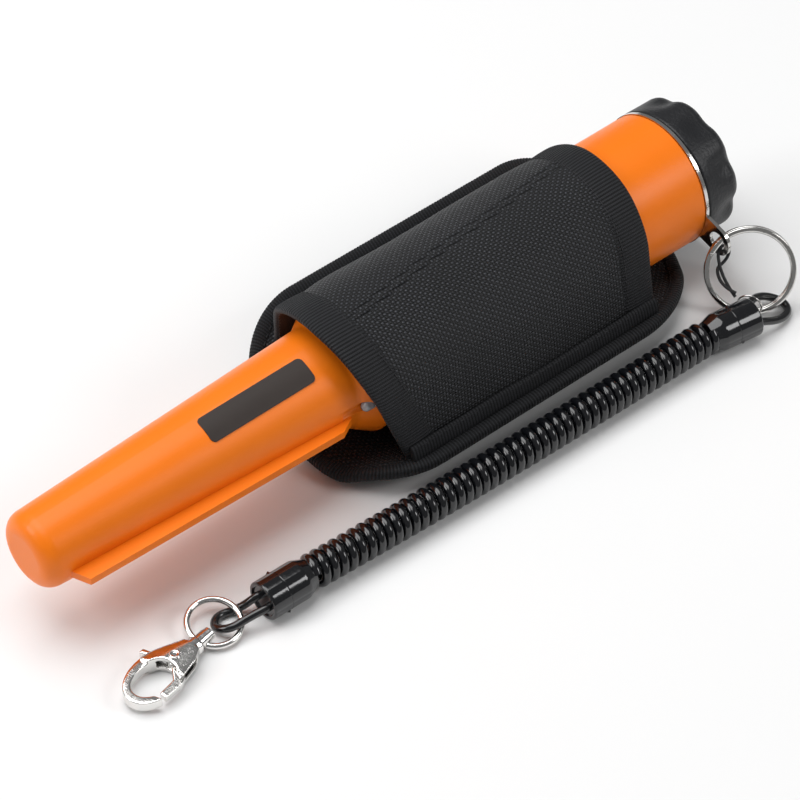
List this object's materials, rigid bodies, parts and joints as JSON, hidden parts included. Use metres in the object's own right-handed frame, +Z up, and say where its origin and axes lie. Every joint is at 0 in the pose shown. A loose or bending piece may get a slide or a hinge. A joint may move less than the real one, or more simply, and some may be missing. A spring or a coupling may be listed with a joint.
{
  "type": "pinpointer probe",
  "caption": "Handheld pinpointer metal detector probe in a padded holster, with a screw battery cap, side blade and coiled clip lanyard.",
  "frame": {"origin": "under the middle of the holster's back panel, on the belt loop's outer face, where it rests, below the probe's axis", "axes": "+X along the probe from its tip to the battery cap, +Z up from the surface, -Y towards the blade and the lanyard"},
  "size_m": [0.2276, 0.0868, 0.0471],
  "materials": {
    "orange_housing": "fine satin moulding",
    "label": "satin printed label, blank",
    "lamp_lens": "clear lens",
    "polished_steel": "polished stainless steel",
    "nickel_plate": "bright nickel plate",
    "board": "solder mask",
    "black_plastic": "moulded",
    "chip": "moulded",
    "can": "satin",
    "foam": "foam",
    "bobbin_plastic": "moulded nylon",
    "ferrite": "sintered ferrite",
    "copper": "enamelled copper wire",
    "battery_case": "plain printed jacket",
    "lead_jacket": "insulation",
    "seal_rubber": "smooth",
    "moulded_black": "glossy moulding",
    "coil_plastic": "glossy polyurethane",
    "cord_black": "smooth cord",
    "string_black": "braided string",
    "brass": "turned",
    "button_rubber": "soft",
    "holster_fabric": "coarse ballistic weave",
    "binding_tape": "ribbed binding tape",
    "webbing": "woven webbing",
    "cap_plastic": "finely textured"
  },
  "bodies": {
    "probe": {"probe_housing": "orange_housing", "label_plate": "label", "led_lamp": "lamp_lens", "lanyard_tab": "polished_steel", "circuit_board": "board", "board_tray": "black_plastic", "main_chip": "chip", "small_components": "chip", "capacitors": "can", "power_switch": "chip", "sounder": "can", "vibration_motor": "can", "motor_clip": "black_plastic", "bulkhead": "black_plastic", "tip_cushion": "foam", "coil_bobbin": "bobbin_plastic", "ferrite_rod": "ferrite", "transmit_winding": "copper", "receive_winding": "copper", "coil_leads": "copper", "led_leads": "can", "battery_9v": "battery_case", "battery_snap": "black_plastic", "battery_leads": "lead_jacket", "cap_seal": "seal_rubber", "end_cap_near": "moulded_black", "end_cap_far": "moulded_black", "lanyard_coil": "coil_plastic", "near_loop": "cord_black", "far_loop": "cord_black", "strap_string": "string_black", "strap_ring": "polished_steel", "swivel_eye": "nickel_plate"},
    "motor_weight": {"motor_weight": "brass"},
    "power_button": {"power_button": "button_rubber"},
    "holster": {"holster_panel": "holster_fabric", "panel_binding": "binding_tape", "holster_sleeve": "holster_fabric", "front_mouth_binding": "binding_tape", "rear_mouth_binding": "binding_tape", "seam_tape": "binding_tape", "belt_loop": "webbing"},
    "cap_pad": {"cap_pad": "foam"},
    "battery_cap": {"battery_cap": "cap_plastic"},
    "split_ring": {"split_ring": "polished_steel"},
    "clasp": {"clasp_body": "nickel_plate", "swivel_pin": "nickel_plate", "clasp_rivet": "nickel_plate"},
    "clasp_lever": {"clasp_lever": "nickel_plate"}
  },
  "joints": [
    {"name": "holster_slide", "type": "slide", "parent": "probe", "child": "holster", "axis": [-1, 0, 0], "range_m": [0, 0.2]},
    {"name": "button_press", "type": "slide", "parent": "probe", "child": "power_button", "axis": [0, 0, -1], "range_m": [0, 0.001], "stiffness_N_per_m": 600, "springref_m": -0.0005},
    {"name": "motor_spin", "type": "hinge", "parent": "probe", "child": "motor_weight", "pos_m": [0.002, 0, 0.023], "axis": [1, 0, 0], "continuous": true},
    {"name": "cap_lift", "type": "slide", "parent": "probe", "child": "cap_pad", "axis": [1, 0, 0], "range_m": [0, 0.0062]},
    {"name": "cap_turn", "type": "hinge", "parent": "cap_pad", "child": "battery_cap", "pos_m": [0.068, 0, 0.025], "axis": [1, 0, 0], "range_deg": [0, 720]},
    {"name": "split_ring_turn", "type": "hinge", "parent": "probe", "child": "split_ring", "pos_m": [0.0659, -0.0328, 0.01195], "axis": [-0.5837, -0.6834, 0.4384], "continuous": true},
    {"name": "clasp_swivel", "type": "hinge", "parent": "probe", "child": "clasp", "pos_m": [-0.1259, -0.0343, 0.0028], "axis": [-0.9848, -0.1736, 0], "continuous": true},
    {"name": "clasp_lever_swing", "type": "hinge", "parent": "clasp", "child": "clasp_lever", "pos_m": [-0.13267, -0.03509, 0.0028], "axis": [0, 0, -1], "range_deg": [0, 28], "stiffness_Nm_per_rad": 0.02, "springref_deg": -5.73}
  ],
  "couplings": [
    {"joint": "cap_lift", "follows": "cap_turn", "m_per_rad": 0.00047746}
  ]
}
